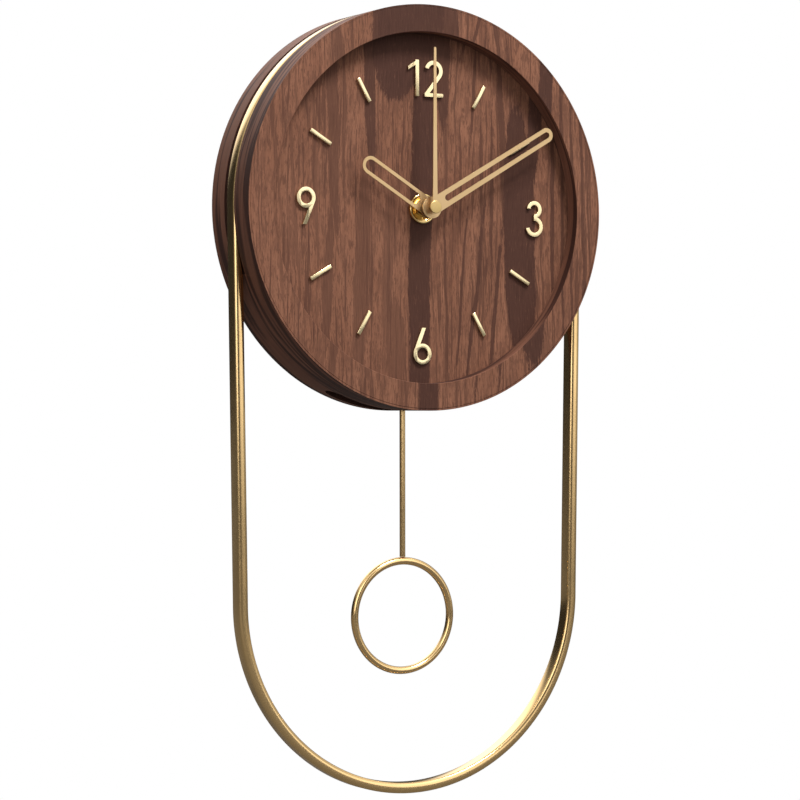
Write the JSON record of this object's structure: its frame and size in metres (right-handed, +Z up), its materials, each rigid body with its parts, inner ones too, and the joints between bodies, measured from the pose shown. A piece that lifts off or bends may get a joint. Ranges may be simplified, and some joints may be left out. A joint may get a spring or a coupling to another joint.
{
  "type": "wall clock",
  "caption": "Round wooden wall clock with a recessed dial, slotted gold hands, and a brass bar loop round the drum framing a swinging rod pendulum with a ring bob.",
  "frame": {"origin": "The hanging point: on the rear face of the keyhole hanger plate, on the clock's vertical centre line, 2.5 mm above the top of the keyhole slot. The wall is the plane Y = 0.", "axes": "+Y points into the wall (the dial faces -Y), +Z is up, +X is towards three o'clock."},
  "size_m": [0.29, 0.0659, 0.5658],
  "materials": {
    "walnut": "oiled straight-grained walnut veneer, satin",
    "raw_board": "unfinished fibreboard and softwood, matte",
    "polished_brass": "polished brass",
    "satin_gold": "satin pale gold",
    "brass_wheel": "stamped brass",
    "white_plastic": "natural acetal",
    "black_plastic": "fine textured black plastic",
    "zinc_steel": "zinc plated",
    "copper_wire": "enamelled copper winding",
    "green_board": "solder mask",
    "battery_sleeve": "printed-free shrink sleeve",
    "black_rubber": "moulded"
  },
  "bodies": {
    "clock_case": {"case_wall": "walnut", "front_ring": "walnut", "dial_panel": "walnut", "back_panel": "raw_board", "hanger_block": "raw_board", "hanger_plate": "zinc_steel", "hanger_screw_left": "zinc_steel", "hanger_screw_right": "zinc_steel", "back_screw_45": "zinc_steel", "back_screw_135": "zinc_steel", "back_screw_225": "zinc_steel", "back_screw_315": "zinc_steel", "bar_screw_0": "zinc_steel", "bar_screw_90": "zinc_steel", "bar_screw_180": "zinc_steel", "contact_positive": "zinc_steel", "contact_negative": "zinc_steel", "stator": "zinc_steel", "pivot_pin": "zinc_steel", "frame_bar": "polished_brass", "dial_washer": "polished_brass", "hex_nut": "polished_brass", "baton_01": "satin_gold", "baton_02": "satin_gold", "baton_04": "satin_gold", "baton_05": "satin_gold", "baton_07": "satin_gold", "baton_08": "satin_gold", "baton_10": "satin_gold", "baton_11": "satin_gold", "numeral_03": "satin_gold", "numeral_06": "satin_gold", "numeral_09": "satin_gold", "numeral_12_one": "satin_gold", "numeral_12_two": "satin_gold", "movement_case": "black_plastic", "movement_cover": "black_plastic", "drive_housing": "black_plastic", "train_bridge": "white_plastic", "rubber_washer": "black_rubber", "motor_coil": "copper_wire", "drive_coil": "copper_wire", "circuit_board": "green_board", "battery": "battery_sleeve"},
    "second_train": {"second_hand": "satin_gold", "centre_cap": "satin_gold", "second_wheel": "brass_wheel"},
    "minute_train": {"minute_hand": "satin_gold", "minute_wheel": "brass_wheel"},
    "hour_train": {"hour_hand": "satin_gold", "hour_wheel": "brass_wheel"},
    "third": {"third_wheel": "white_plastic"},
    "intermediate": {"intermediate_wheel": "white_plastic"},
    "motor": {"rotor": "zinc_steel"},
    "motion": {"motion_wheel": "white_plastic"},
    "setting": {"setting_knob": "black_plastic"},
    "pendulum": {"pendulum_arm": "black_plastic", "arm_magnet": "zinc_steel", "pendulum_rod": "polished_brass", "pendulum_ring": "polished_brass"}
  },
  "joints": [
    {"name": "second_spin", "type": "hinge", "parent": "clock_case", "child": "second_train", "pos_m": [0, -0.0575, -0.116], "axis": [0, 1, 0], "continuous": true},
    {"name": "minute_spin", "type": "hinge", "parent": "clock_case", "child": "minute_train", "pos_m": [0, -0.0575, -0.116], "axis": [0, 1, 0], "continuous": true},
    {"name": "hour_spin", "type": "hinge", "parent": "clock_case", "child": "hour_train", "pos_m": [0, -0.0575, -0.116], "axis": [0, 1, 0], "continuous": true},
    {"name": "third_spin", "type": "hinge", "parent": "clock_case", "child": "third", "pos_m": [-0.01136, -0.0575, -0.1144], "axis": [0, 1, 0], "continuous": true},
    {"name": "intermediate_spin", "type": "hinge", "parent": "clock_case", "child": "intermediate", "pos_m": [0.0045, -0.0575, -0.10821], "axis": [0, 1, 0], "continuous": true},
    {"name": "rotor_spin", "type": "hinge", "parent": "clock_case", "child": "motor", "pos_m": [0.01302, -0.0575, -0.10592], "axis": [0, 1, 0], "continuous": true},
    {"name": "motion_spin", "type": "hinge", "parent": "clock_case", "child": "motion", "pos_m": [0.00655, -0.0575, -0.12059], "axis": [0, 1, 0], "continuous": true},
    {"name": "setting_spin", "type": "hinge", "parent": "clock_case", "child": "setting", "pos_m": [0.01547, -0.0575, -0.12184], "axis": [0, 1, 0], "continuous": true},
    {"name": "pendulum_swing", "type": "hinge", "parent": "clock_case", "child": "pendulum", "pos_m": [0, -0.0575, -0.066], "axis": [0, 1, 0], "range_deg": [-15, 15]}
  ],
  "couplings": [
    {"joint": "minute_spin", "follows": "second_spin", "ratio": 0.016667},
    {"joint": "hour_spin", "follows": "second_spin", "ratio": 0.0013889},
    {"joint": "third_spin", "follows": "second_spin", "ratio": -0.13333},
    {"joint": "intermediate_spin", "follows": "second_spin", "ratio": -5},
    {"joint": "rotor_spin", "follows": "second_spin", "ratio": 30},
    {"joint": "motion_spin", "follows": "second_spin", "ratio": -0.0055556},
    {"joint": "setting_spin", "follows": "second_spin", "ratio": 0.011111}
  ]
}
